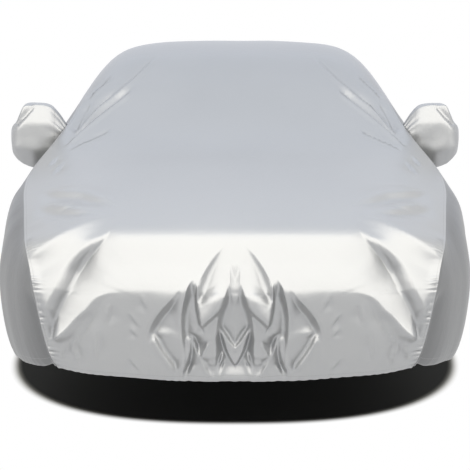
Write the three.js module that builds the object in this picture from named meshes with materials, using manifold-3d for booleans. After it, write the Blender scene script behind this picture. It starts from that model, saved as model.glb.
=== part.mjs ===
import * as THREE from "three";
import Module from "manifold-3d";

const wasm = await Module();
wasm.setup();

// Millimetres. x runs across the car, y back from the nose and z up from the ground;
// the outer group then puts the origin under the roof.
const ROOF_Y = 2650; // the roof mount behind the nose
const ROOF_STATIONS = [11, 18]; // stations on either side of it
const CLOTH = 2; // thickness of the cloth
const SEAM_GAP = 0.34; // slit between two pieces sewn together
const PLAN = 6; // power of the corner's sweep in plan
const NOSE = 7; // station where the front seam turns into the bonnet seam
const TAIL = 24; // the same at the rear
const WINDSCREEN = 17; // station beyond which no fold is placed
const BLEND = 520; // length over which a side panel takes up the corner's shape

// The top panel's stations from the tuck inside the front hem to the one at the rear.
// y, z on the centre line, half width, bow and sweep in plan, crown, drop at the seam and its power
const TOP = [
  [116, 302, 622, 72, 34, 0, -28, 6],
  [64, 277, 640, 74, 36, 0, -34, 6],
  [34, 335, 664, 76, 38, 0, -22, 6],
  [15, 450, 690, 78, 40, 0, -4, 6],
  [1, 575, 712, 80, 40, 0, 2, 6],
  [9, 617, 720, 80, 40, 1, 8, 6],
  [64, 694, 737, 82, 40, 4, 22, 6],
  [148, 794, 761, 76, 40, 10, 52, 6],
  [320, 848, 782, 50, 34, 19, 70, 6],
  [620, 910, 812, 12, 8, 25, 62, 6],
  [950, 968, 848, 0, 0, 25, 60, 6],
  [1230, 1018, 846, 0, 0, 22, 58, 7],
  [1450, 1080, 778, 0, 0, 18, 28, 8],
  [1650, 1175, 724, 0, 0, 20, 34, 8],
  [1850, 1285, 702, 0, 0, 24, 72, 8],
  [2080, 1390, 692, 0, 0, 25, 140, 8],
  [2350, 1440, 688, 0, 0, 26, 182, 8],
  [2720, 1452, 684, 0, 0, 28, 188, 8],
  [3050, 1432, 684, 0, 0, 30, 176, 8],
  [3300, 1362, 690, 0, 0, 32, 142, 8],
  [3550, 1252, 708, 0, 0, 32, 92, 8],
  [3800, 1145, 745, 0, 0, 30, 66, 8],
  [4030, 1075, 785, -25, -25, 26, 60, 7],
  [4230, 1035, 792, -55, -50, 20, 56, 6],
  [4335, 985, 782, -70, -60, 12, 42, 6],
  [4392, 880, 765, -75, -62, 5, 20, 6],
  [4400, 660, 740, -75, -62, 0, 5, 6],
  [4384, 430, 708, -75, -56, 0, 0, 6],
  [4346, 278, 682, -72, -50, 0, -8, 6],
  [4290, 302, 664, -70, -48, 0, -4, 6],
];

// A side panel's section at each station of the seam.
// y at the hem, then x and z at the waist, the belly, the skirt, the hem and the tuck
const SIDE = [
  [262, 776, 655, 800, 560, 786, 412, 734, 303, 702, 322],
  [330, 812, 690, 844, 575, 828, 408, 782, 290, 747, 312],
  [570, 868, 755, 903, 600, 885, 404, 842, 276, 805, 300],
  [930, 908, 795, 924, 610, 905, 402, 862, 273, 825, 298],
  [1240, 902, 820, 922, 615, 904, 402, 864, 271, 827, 296],
  [1450, 882, 862, 916, 630, 903, 402, 864, 270, 827, 295],
  [1650, 862, 912, 914, 650, 903, 410, 864, 270, 827, 295],
  [1850, 854, 942, 914, 665, 904, 410, 866, 270, 829, 295],
  [2080, 853, 948, 915, 670, 905, 410, 868, 270, 831, 295],
  [2350, 854, 945, 916, 665, 906, 410, 868, 270, 831, 295],
  [2720, 856, 940, 916, 660, 906, 410, 868, 270, 831, 295],
  [3050, 858, 935, 915, 655, 904, 410, 866, 270, 829, 295],
  [3300, 862, 925, 913, 650, 902, 410, 864, 271, 827, 296],
  [3550, 866, 905, 910, 645, 898, 410, 860, 272, 823, 297],
  [3790, 866, 880, 904, 640, 890, 410, 850, 273, 813, 298],
  [3990, 858, 855, 893, 635, 876, 405, 835, 275, 798, 299],
  [4130, 838, 840, 872, 630, 852, 405, 805, 277, 770, 300],
  [4235, 812, 830, 838, 620, 812, 402, 765, 279, 735, 302],
];
const DOWN = [0, 0.3, 0.52, 0.76, 0.93, 1]; // seam, waist, belly, skirt, hem, tuck
const FRONT_STATIONS = [7, 6, 4, 3, 1, 0]; // where those levels meet the front seam
const REAR_STATIONS = [24, 25, 26, 27, 28, 29];

// Lines the nose's folds follow: z, then x on the inner arch, the outer arch, the side fold,
// the faint fold and the corner's fold. The columns of the net run along them.
const GUIDES = [
  [270, 72, 122, 188, 300, 580],
  [299, 71, 118, 187, 304, 600],
  [373, 68, 115, 179, 309, 640],
  [448, 68, 116, 186, 304, 660],
  [506, 63, 127, 189, 288, 654],
  [562, 46, 132, 180, 246, 633],
  [600, 34, 132, 167, 214, 617],
  [638, 24, 126, 158, 205, 602],
  [690, 20, 96, 142, 212, 580],
  [728, 22, 68, 136, 222, 559],
  [758, 26, 52, 138, 234, 540],
  [805, 48, 98, 164, 256, 501],
  [845, 74, 148, 226, 306, 470],
];
const GUIDE_FEET = [26, 26, 25, 24, 34]; // how far inside each line the foot of its fold runs
const GUIDE_STEPS = [2, 2, 2, 2, 5, 4]; // columns from one line to the next one's foot, then to the seam

// Folds, drawn on both halves along a path of x and the height z on the nose, or of x and y on the
// bonnet and the windscreen. The cloth falls by deep from an edge along the path, within soft, and
// comes back over about back. It falls towards the middle where to is -1, and outwards where it is 1.
// A lip stands along the edge, about wide. Both grow over the first of the fades at the path's start
// and go over the second at its end. A fold with foot is crisp there instead of at its edge.
const FOLDS = [
  // inner arch
  {
    on: "nose", to: -1, deep: 48, soft: 26, back: 170, lip: 4, wide: 22, fades: [90, 0],
    path: [
      [17, 652], [24, 632], [34, 600], [46, 562], [58, 524], [65, 490], [68, 448], [68, 410],
      [68, 373], [69, 335], [71, 299], [72, 268], [72, 244],
    ],
  },
  // outer arch
  {
    on: "nose", to: -1, deep: 42, soft: 26, back: 60, lip: 4, wide: 26, fades: [170, 50],
    path: [
      [30, 766], [50, 746], [68, 728], [90, 700], [107, 674], [123, 643], [132, 612], [134, 580],
      [133, 548],
    ],
  },
  // side fold
  {
    on: "nose", to: -1, deep: 60, soft: 25, back: 44, lip: 4, wide: 24, fades: [60, 0],
    path: [
      [142, 652], [156, 640], [168, 618], [179, 577], [187, 540], [190, 505], [189, 465],
      [186, 429], [181, 385], [181, 345], [186, 305], [188, 270], [188, 244],
    ],
  },
  // faint fold
  {
    on: "nose", to: -1, deep: 38, soft: 24, back: 50, lip: 4, wide: 34, fades: [90, 60],
    path: [
      [188, 622], [215, 592], [240, 566], [268, 535], [288, 506], [302, 474], [309, 440],
      [311, 408],
    ],
  },
  // front corner
  {
    on: "nose", to: -1, deep: 50, soft: 34, back: 80, lip: 8, wide: 50, fades: [170, 60], foot: true,
    path: [
      [478, 826], [500, 806], [524, 780], [548, 746], [574, 702], [596, 654], [616, 602],
      [639, 548], [668, 474],
    ],
  },
  // under the corner
  {
    on: "nose", to: -1, deep: 16, soft: 28, back: 70, lip: 46, wide: 80, fades: [330, 90],
    path: [
      [300, 603], [380, 603], [430, 600], [462, 593], [490, 581], [522, 560], [551, 534],
      [580, 508], [606, 480], [650, 436],
    ],
  },
  // bonnet corner
  {
    on: "bonnet", to: -1, deep: 20, soft: 80, back: 260, lip: 8, wide: 60, fades: [130, 0],
    path: [[440, 350], [509, 296], [576, 236], [636, 186], [690, 156], [738, 140], [820, 124]],
  },
  // bonnet
  {
    on: "bonnet", to: -1, deep: 12, soft: 30, back: 100, lip: 4, wide: 40, fades: [120, 80],
    path: [[430, 430], [500, 520], [580, 600], [670, 640], [770, 650]],
  },
  // pillar
  {
    on: "bonnet", to: 1, deep: 12, soft: 16, back: 50, lip: 3, wide: 16, fades: [60, 160],
    path: [[715, 1450], [620, 1600], [540, 1750], [460, 1890], [400, 2000], [349, 2130]],
  },
  // beside it
  {
    on: "bonnet", to: 1, deep: 7, soft: 12, back: 26, lip: 2, wide: 10, fades: [60, 110],
    path: [[688, 1750], [610, 1900], [534, 2050]],
  },
];

// The lobe below the arch stands out on both halves: x and z of its fullest point, its half width,
// how far it takes to rise from above and to fall below, the lean of its foot, and its height.
const LOBE = {x: 88, z: 528, wide: 42, above: 110, below: 34, lean: -0.9, high: 34};

const HEM_HOLD = 0.15; // share of the folds left at the front hem
const HEM_REACH = 80; // and the length over which they grow to the full height
const SEAM_CALM = 0.05; // share of the half width beside a seam where they fade out

// Mirror pocket, from inside the side panel out to the tip.
// x, y of the middle, z at the bottom and the top, half depth fore and aft
const POCKET = [
  [690, 1622, 968, 1036, 56],
  [742, 1620, 958, 1082, 66],
  [778, 1617, 938, 1140, 82],
  [818, 1613, 922, 1186, 98],
  [872, 1609, 911, 1200, 107],
  [922, 1606, 922, 1180, 106],
  [952, 1604, 944, 1142, 96],
  [972, 1603, 970, 1108, 76],
  [984, 1602, 1012, 1082, 42],
];
const POCKET_SQUARE = 2.9; // power of the rounded rectangle it is in section
const POCKET_TIP = 4; // how far the tip stands out from the last ring
const AROUND = 16; // points round a ring
const SMOOTH_RINGS = 2; // rings at the panel that have no lumps
const LUMPS = [{ high: 3.2, around: 2.1, along: 1.7 }, { high: 1.8, around: 4.3, along: -2.2 }];
const POCKET_INSIDE = 25; // how far its hollow reaches into the car
const NEAR_POCKET = [1150, 2150]; // y between which the side panel may cut it
const POCKET_LEVELS = 5; // levels of the panel, from the seam down, that may do so
const WELL_INSIDE = 560; // x up to which everything behind the panel is cut away

const knots = [0];
for (let i = 1; i < TOP.length; i++)
  knots.push(knots[i - 1] + Math.hypot(TOP[i][0] - TOP[i - 1][0], TOP[i][1] - TOP[i - 1][1]));

// Smooth curve through rows of numbers p at the knots t.
function spline(t, p, at) {
  let k = 0;
  while (k < t.length - 2 && at > t[k + 1]) k++;
  const slope = (i, c) => {
    const a = Math.max(i - 1, 0);
    const b = Math.min(i + 1, t.length - 1);
    return (p[b][c] - p[a][c]) / (t[b] - t[a]);
  };
  const h = t[k + 1] - t[k];
  const s = (at - t[k]) / h;
  const out = [];
  for (let c = 0; c < p[0].length; c++)
    out.push(
      (2 * s ** 3 - 3 * s ** 2 + 1) * p[k][c] + (s ** 3 - 2 * s ** 2 + s) * h * slope(k, c) +
      (3 * s ** 2 - 2 * s ** 3) * p[k + 1][c] + (s ** 3 - s ** 2) * h * slope(k + 1, c),
    );
  return out;
}

function linear(t, p, at) {
  let k = 0;
  while (k < t.length - 2 && at > t[k + 1]) k++;
  return p[k] + ((p[k + 1] - p[k]) * (at - t[k])) / (t[k + 1] - t[k]);
}

const smooth = (a) => {
  const s = Math.min(Math.max(a, 0), 1);
  return s * s * (3 - 2 * s);
};

// The bare shape under the top panel; v is -1 and 1 at the seams.
function bare(u, v) {
  const [y, z, half, bow, sweep, crown, drop, shoulder] = spline(knots, TOP, u);
  const a = Math.abs(v);
  return new THREE.Vector3(
    half * v,
    y + bow * a ** 2 + sweep * a ** PLAN,
    z - crown * a ** 2 - drop * a ** shoulder,
  );
}

// Length along the centre line at a height on the nose, or at a distance behind it. Below the hem
// it is told from the distance down.
const CENTRE_STEPS = 900;
const centre = Array.from({ length: CENTRE_STEPS + 1 }, (_, i) => (i / CENTRE_STEPS) * knots[WINDSCREEN]);
const centrePoints = centre.map((u) => bare(u, 0));
function station(on, value) {
  const from = centre.findIndex((u) => u > knots[on === "nose" ? 1 : 6]);
  const axis = on === "nose" ? "z" : "y";
  const first = centrePoints[from][axis];
  if (value < first) return centre[from] - (first - value);
  const at = centrePoints.findIndex((p, i) => i >= from && p[axis] >= value);
  return centre[at < 0 ? CENTRE_STEPS : at];
}

const guideKnots = GUIDES.map(([z]) => station("nose", z));
function guide(line, u) {
  const at = Math.min(Math.max(u, guideKnots[0]), guideKnots.at(-1));
  return linear(guideKnots, GUIDES.map((row) => row[line]), at);
}

// Each fold's line in x and u, as a smooth curve of short stretches, with the length up to each point.
const STRETCHES = 6;
const lengths = (line) =>
  line.reduce((sums, p, i) => [...sums, i ? sums[i - 1] + p.distanceTo(line[i - 1]) : 0], []);
for (const fold of FOLDS) {
  const bends = fold.path.map(([x, value]) => new THREE.Vector2(x, station(fold.on, value)));
  const way = lengths(bends);
  const count = STRETCHES * bends.length;
  const rows = bends.map((p) => [p.x, p.y]);
  fold.line = Array.from({ length: count + 1 }, (_, i) => {
    const [x, u] = spline(way, rows, (way.at(-1) * i) / count);
    return new THREE.Vector2(x, u);
  });
  fold.way = lengths(fold.line);
}

const bell = (a) => Math.exp(-(a ** 2));

// Height across a fold at a distance t from its edge, on the side where the cloth falls.
function profile({ deep, back, lip, wide, foot }, t, soft) {
  if (t < 0) return lip * bell(t / wide);
  const share = Math.min(t / soft, 1);
  const fall = foot ? share ** 1.6 : 1 - (1 - share) ** 1.5;
  const left = foot ? bell(Math.max(t - soft, 0) / back) : Math.exp(-t / back);
  return lip * (1 - fall) - deep * fall * left;
}

// Height of one fold over the bare shape, from the nearest point of its line.
function foldRelief(fold, here) {
  const { line, way, to, soft, fades } = fold;
  let best = Infinity;
  let hand = 1;
  let along = 0;
  for (let i = 0; i < line.length - 1; i++) {
    const run = line[i + 1].clone().sub(line[i]);
    const off = here.clone().sub(line[i]);
    const s = Math.min(Math.max(off.dot(run) / run.lengthSq(), 0), 1);
    const gap = off.clone().addScaledVector(run, -s).length();
    if (gap >= best) continue;
    best = gap;
    hand = run.cross(off) < 0 ? -1 : 1;
    along = way[i] + s * run.length();
  }
  const [grow, go] = fades;
  const grown = grow ? smooth((along - best / 2) / grow) : 1;
  const left = go ? smooth((way.at(-1) - along - best / 2) / go) : 1;
  const ends = grown * left;
  const sense = line.at(-1).y < line[0].y ? 1 : -1;
  return ends * profile(fold, best * hand * to * sense, soft * (0.4 + 0.6 * ends));
}

function lobeRelief(x, u) {
  const middle = station("nose", LOBE.z) + LOBE.lean * (x - LOBE.x);
  const rise = smooth((middle + LOBE.above - u) / LOBE.above);
  const fall = smooth((u - middle + LOBE.below) / LOBE.below);
  return LOBE.high * Math.exp(-(Math.abs((x - LOBE.x) / LOBE.wide) ** 3)) * rise * fall;
}

function relief(x, u) {
  const here = new THREE.Vector2(Math.abs(x), u);
  const height = FOLDS.reduce((sum, fold) => sum + foldRelief(fold, here), lobeRelief(here.x, u));
  return height * (HEM_HOLD + (1 - HEM_HOLD) * smooth((u - knots[1]) / HEM_REACH));
}

function topPoint(u, v) {
  const p = bare(u, v);
  const e = 1e-3;
  const across = bare(u, v + e).sub(bare(u, v - e));
  const back = bare(u + 1, v).sub(bare(u - 1, v));
  const normal = across.cross(back).normalize();
  const level = smooth((1 - Math.abs(v)) / SEAM_CALM) * smooth(u / HEM_REACH);
  return p.addScaledVector(normal, relief(p.x, u) * level);
}

// The right side panel; w is 0 at the seam and 1 at the tuck.
function sideSection(u, w) {
  const seam = bare(u, 1);
  const row = spline(knots.slice(NOSE, TAIL + 1), SIDE, u);
  const section = [[seam.x, seam.z]];
  for (let i = 1; i < row.length; i += 2) section.push([row[i], row[i + 1]]);
  const [x, z] = spline(DOWN, section, w);
  return new THREE.Vector3(x, seam.y + (row[0] - seam.y) * Math.min(w / DOWN[4], 1), z);
}
function sidePoint(u, w) {
  const [first, last] = [knots[NOSE], knots[TAIL]];
  const p = sideSection(u, w);
  for (const [end, stations] of [[first, FRONT_STATIONS], [last, REAR_STATIONS]]) {
    const share = Math.max(1 - Math.abs(u - end) / BLEND, 0) ** 2;
    if (!share) continue;
    const seam = bare(linear(DOWN, stations.map((s) => knots[s]), w), 1);
    p.addScaledVector(seam.sub(sideSection(end, w)), share);
  }
  return p;
}

// A net of cloth: lines of points. Neighbouring lines with the same count pair up; others are
// joined in the order of `along`, which grows from the start of a line to its end.
function net(lines, along) {
  const points = lines.flat();
  const index = [];
  let base = 0;
  for (let r = 0; r < lines.length - 1; r++) {
    const [a, b] = [lines[r], lines[r + 1]];
    const next = base + a.length;
    const paired = a.length === b.length;
    let i = 0;
    let j = 0;
    while (i < a.length - 1 || j < b.length - 1) {
      let stepA = Infinity;
      let stepB = Infinity;
      if (i < a.length - 1) stepA = paired ? a[i + 1].distanceTo(b[j]) : along(a[i + 1], i + 1, r);
      if (j < b.length - 1) stepB = paired ? a[i].distanceTo(b[j + 1]) : along(b[j + 1], j + 1, r + 1);
      if (paired && i < j) stepB = Infinity;
      if (paired && j < i) stepA = Infinity;
      if (stepA < stepB) {
        index.push([base + i, base + i + 1, next + j]);
        i++;
      } else {
        index.push([base + i, next + j + 1, next + j]);
        j++;
      }
    }
    base = next;
  }
  const starts = lines.map((_, r) => lines.slice(0, r).reduce((n, l) => n + l.length, 0));
  const ends = lines.map((l, r) => starts[r] + l.length - 1);
  const last = lines.length - 1;
  // Around the net: out along the first line, down the ends, back, and up the starts.
  const rim = [
    ...lines[0].map((_, i) => i),
    ...ends.slice(1),
    ...lines[last].map((_, i) => ends[last] - i).slice(1),
    ...starts.slice(1, last).reverse(),
  ];
  return { points, index, rim, drawn: [...points] };
}

function normalsOf({ points, index }, flip) {
  const sums = points.map(() => new THREE.Vector3());
  for (const [a, b, c] of index) {
    const n = points[b].clone().sub(points[a]).cross(points[c].clone().sub(points[a]));
    for (const k of [a, b, c]) sums[k].addScaledVector(n, flip ? -1 : 1);
  }
  return sums.map((n) => n.normalize());
}

// The closed solid of a net, thickened towards its inner side.
function thicken({ points, index, rim, drawn }, normals, flip) {
  const count = points.length;
  const order = (i) => drawn[i].y + 0.37 * drawn[i].z; // the same on both sides of a seam
  const inner = points.map((p, i) => p.clone().addScaledVector(normals[i], -CLOTH));
  const faces = [];
  for (const [a, b, c] of index) faces.push([a, b, c], [a + count, c + count, b + count]);
  rim.forEach((a, i) => {
    const b = rim[(i + 1) % rim.length];
    if (order(a) < order(b)) faces.push([b, a, b + count], [a, a + count, b + count]);
    else faces.push([b, a, a + count], [b, a + count, b + count]);
  });
  return solid([...points, ...inner], faces, flip);
}

function solid(points, faces, flip) {
  return new wasm.Manifold(
    new wasm.Mesh({
      numProp: 3,
      vertProperties: Float32Array.from(points.flatMap((p) => [p.x, p.y, p.z])),
      triVerts: Uint32Array.from(faces.flatMap(([a, b, c]) => (flip ? [a, c, b] : [a, b, c]))),
    }),
  );
}

function spread(from, to, count) {
  return Array.from({ length: count }, (_, i) => from + ((to - from) * (i + 1)) / count);
}

// Rows along the car: how many steps between each station and the next.
const STEPS = [2, 2, 3, 4, 2, 3, 3, 2, 2, 2, 2, 2, 2, 2, 2, 2, 2, 1, 2, 1, 1, 1, 1, 1, 1, 1, 1, 1, 2];
const rows = [knots[0]];
STEPS.forEach((count, i) => rows.push(...spread(knots[i], knots[i + 1], count)));

// Columns across half of the panel: along the folds' feet and edges on the nose, plain behind it.
const COARSE = [0, 0.17, 0.33, 0.48, 0.62, 0.75, 0.86, 0.94, 1];
const FOOT_SHARE = 0.6; // how much of the way back to the last line a foot may take up
function columns(u) {
  if (u > knots[NOSE + 1] - 1) return COARSE;
  const half = bare(u, 1).x;
  const stops = [0];
  GUIDE_FEET.forEach((reach, i) => {
    const edge = guide(i + 1, u);
    const last = i ? guide(i, u) : 0;
    const foot = edge - Math.min(reach, FOOT_SHARE * (edge - last));
    stops.push(...spread(last / half, foot / half, GUIDE_STEPS[i]), edge / half);
  });
  return [...stops, ...spread(stops.at(-1), 1, GUIDE_STEPS.at(-1))];
}
const topLines = rows.map((u) => {
  const half = columns(u);
  return [...half.slice(1).map((v) => -v).reverse(), ...half].map((v) => topPoint(u, v));
});
const topNet = net(topLines, (p) => p.x);

// Lines down the right side panel, one from each row of the top panel that meets its seam.
const between = rows.filter((u) => u > knots[NOSE] + 1 && u < knots[TAIL] - 1);
const levels = [0, 0.12, 0.25, 0.37, 0.47, 0.58, 0.74, 0.87, 0.94, 1];
const endRows = [
  rows.filter((u) => u < knots[NOSE] + 1).reverse(),
  rows.filter((u) => u > knots[TAIL] - 1),
];
const endLevels = endRows.map((list, e) =>
  list.map((u) => {
    const at = (e ? REAR_STATIONS : FRONT_STATIONS).map((s) => (e ? 1 : -1) * knots[s]);
    return linear(at, DOWN, (e ? 1 : -1) * u);
  }),
);
const sideLines = [
  endRows[0].map((u) => bare(u, 1)),
  ...between.map((u) => levels.map((w) => sidePoint(u, w))),
  endRows[1].map((u) => bare(u, 1)),
];
const levelOf = (_, i, line) =>
  line === 0 ? endLevels[0][i] : line === sideLines.length - 1 ? endLevels[1][i] : levels[i];

// A panel's points are drawn for the right side; hand is -1 for the left one.
const mirrored = (points, hand) => points.map((p) => new THREE.Vector3(hand * p.x, p.y, p.z));
const sidePanel = (hand) => net(sideLines.map((line) => mirrored(line, hand)), levelOf);

const key = (p) => [p.x, p.y, p.z].map((n) => Math.round(n * 50)).join();

const right = sidePanel(1);
const left = sidePanel(-1);
const topNormals = normalsOf(topNet, false);
const rightNormals = normalsOf(right, false);
const leftNormals = normalsOf(left, true);

// Where two pieces meet, both take the mean of their normals, so that the cut faces are parallel.
const seamOf = new Map(topNet.rim.map((i) => [key(topNet.points[i]), i]));
for (const [piece, normals] of [[right, rightNormals], [left, leftNormals]]) {
  const shifts = [];
  piece.rim.forEach((i, k) => {
    const match = seamOf.get(key(piece.points[i]));
    if (match === undefined) return;
    const mean = topNormals[match].clone().add(normals[i]).normalize();
    topNormals[match].copy(mean);
    normals[i].copy(mean);
    const before = piece.rim[(k + piece.rim.length - 1) % piece.rim.length];
    const after = piece.rim[(k + 1) % piece.rim.length];
    const sewn = [before, i, after].filter((j) => seamOf.has(key(piece.points[j])));
    const run = piece.points[sewn[sewn.length - 1]].clone().sub(piece.points[sewn[0]]);
    const inward = run.cross(mean).normalize();
    shifts.push([i, inward]);
  });
  const middle = piece.points
    .reduce((sum, p) => sum.add(p), new THREE.Vector3())
    .divideScalar(piece.points.length);
  for (const [i, inward] of shifts) {
    const sign = Math.sign(inward.dot(middle.clone().sub(piece.points[i])));
    piece.points[i] = piece.points[i].clone().addScaledVector(inward, sign * SEAM_GAP);
  }
}

// Closed tube through the pocket's rings. The hollow is the same tube drawn in by `shrink`, and
// reaches into the car by `reach`.
function pocketBody(hand, shrink, reach) {
  const rings = POCKET.map(([x, y, low, high, deep], r) => {
    const ring = [];
    for (let i = 0; i < AROUND; i++) {
      const a = (2 * Math.PI * (i + 0.5)) / AROUND;
      const round = (c) => Math.sign(c) * Math.abs(c) ** (2 / POCKET_SQUARE);
      const waves = LUMPS.map((l) => l.high * Math.sin(l.around * i + l.along * r));
      const lump = r < SMOOTH_RINGS ? 0 : waves[0] + waves[1];
      const aft = (deep + lump) * round(Math.cos(a));
      const up = ((high - low) / 2 + lump) * round(Math.sin(a));
      ring.push(new THREE.Vector3(x, y + aft, (low + high) / 2 + up));
    }
    return ring;
  });
  const [first, last] = [POCKET[0], POCKET.at(-1)];
  const points = [
    ...rings.flat(),
    new THREE.Vector3(first[0], first[1], (first[2] + first[3]) / 2),
    new THREE.Vector3(last[0] + POCKET_TIP, last[1], (last[2] + last[3]) / 2),
  ];
  const faces = [];
  const [root, tip] = [points.length - 2, points.length - 1];
  const end = (rings.length - 1) * AROUND;
  for (let i = 0; i < AROUND; i++) {
    const j = (i + 1) % AROUND;
    for (let r = 0; r < rings.length - 1; r++) {
      const [a, b, c, d] = [r * AROUND + i, r * AROUND + j, (r + 1) * AROUND + j, (r + 1) * AROUND + i];
      faces.push([a, b, c], [a, c, d]);
    }
    faces.push([root, j, i], [tip, end + i, end + j]);
  }
  const normals = normalsOf({ points, index: faces }, false);
  points.forEach((p, i) => {
    p.addScaledVector(normals[i], -shrink);
    if (shrink && (i < AROUND || i === root)) p.x = first[0] - reach;
  });
  return solid(mirrored(points, hand), faces, hand < 0);
}

// Everything on the car's side of a side panel, near the pocket.
function behindPanel(hand, gap) {
  const [fore, aft] = NEAR_POCKET;
  const lines = sideLines
    .slice(1, -1)
    .filter((line) => line[0].y > fore && line[0].y < aft)
    .map((line) => line.slice(0, POCKET_LEVELS));
  const piece = net(lines, levelOf);
  const normals = normalsOf(piece, false);
  const outer = piece.points.map((p, i) => p.clone().addScaledVector(normals[i], gap));
  const inner = outer.map((p) => new THREE.Vector3(WELL_INSIDE, p.y, p.z));
  const count = outer.length;
  const faces = [];
  for (const [a, b, c] of piece.index) faces.push([a, b, c], [a + count, c + count, b + count]);
  piece.rim.forEach((a, i) => {
    const b = piece.rim[(i + 1) % piece.rim.length];
    faces.push([b, a, b + count], [a, a + count, b + count]);
  });
  return solid(mirrored([...outer, ...inner], hand), faces, hand < 0);
}

const largest = (body) => body.decompose().sort((a, b) => b.volume() - a.volume())[0];
const pocketHollow = (hand) => pocketBody(hand, CLOTH, POCKET_INSIDE);
const pocket = (hand) =>
  largest(pocketBody(hand, 0, 0).subtract(pocketHollow(hand)).subtract(behindPanel(hand, SEAM_GAP)));

function meshOf(name, body, colour) {
  const m = body.getMesh();
  const n = m.numProp;
  const positions = new Float32Array(m.numVert * 3);
  for (let i = 0; i < m.numVert; i++)
    positions.set(m.vertProperties.subarray(i * n, i * n + 3), i * 3);
  const geometry = new THREE.BufferGeometry()
    .setAttribute("position", new THREE.BufferAttribute(positions, 3))
    .setIndex(new THREE.BufferAttribute(m.triVerts, 1));
  geometry.computeVertexNormals();
  const mesh = new THREE.Mesh(
    geometry,
    new THREE.MeshStandardMaterial({ color: colour, roughness: 0.45, metalness: 0.5 }),
  );
  mesh.name = name;
  return mesh;
}

const cover = new THREE.Group();
const car = new THREE.Group();
cover.add(car);
const roofRows = TOP.slice(...ROOF_STATIONS).map((row) => row[0]);
const roof = topPoint(linear(roofRows, knots.slice(...ROOF_STATIONS), ROOF_Y), 0);
car.position.set(0, -ROOF_Y, -(roof.z - CLOTH));
const sideRight = thicken(right, rightNormals, false).subtract(pocketHollow(1));
const sideLeft = thicken(left, leftNormals, true).subtract(pocketHollow(-1));
car.add(
  meshOf("top_panel", thicken(topNet, topNormals, false), 0xb0b3b8),
  meshOf("side_panel_right", sideRight, 0x939694),
  meshOf("side_panel_left", sideLeft, 0x939694),
  meshOf("mirror_pocket_right", pocket(1), 0xb4b7ba),
  meshOf("mirror_pocket_left", pocket(-1), 0xb4b7ba),
);
export default cover;
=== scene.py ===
import math

import bpy
import numpy as np
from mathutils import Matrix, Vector


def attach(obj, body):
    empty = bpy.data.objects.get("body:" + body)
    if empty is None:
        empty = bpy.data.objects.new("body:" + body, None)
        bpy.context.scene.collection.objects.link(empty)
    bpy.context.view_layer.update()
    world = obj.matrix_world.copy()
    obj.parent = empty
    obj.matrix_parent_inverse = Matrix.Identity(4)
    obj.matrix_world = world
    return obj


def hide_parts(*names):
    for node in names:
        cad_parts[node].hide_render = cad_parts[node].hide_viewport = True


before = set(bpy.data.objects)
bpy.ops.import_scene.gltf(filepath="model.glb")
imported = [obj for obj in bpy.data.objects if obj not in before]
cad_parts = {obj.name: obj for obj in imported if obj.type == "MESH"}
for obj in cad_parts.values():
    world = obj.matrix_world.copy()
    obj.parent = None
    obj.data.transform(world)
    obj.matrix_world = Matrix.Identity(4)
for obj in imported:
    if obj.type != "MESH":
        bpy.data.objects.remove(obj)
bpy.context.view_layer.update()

mm = 0.001

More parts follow.
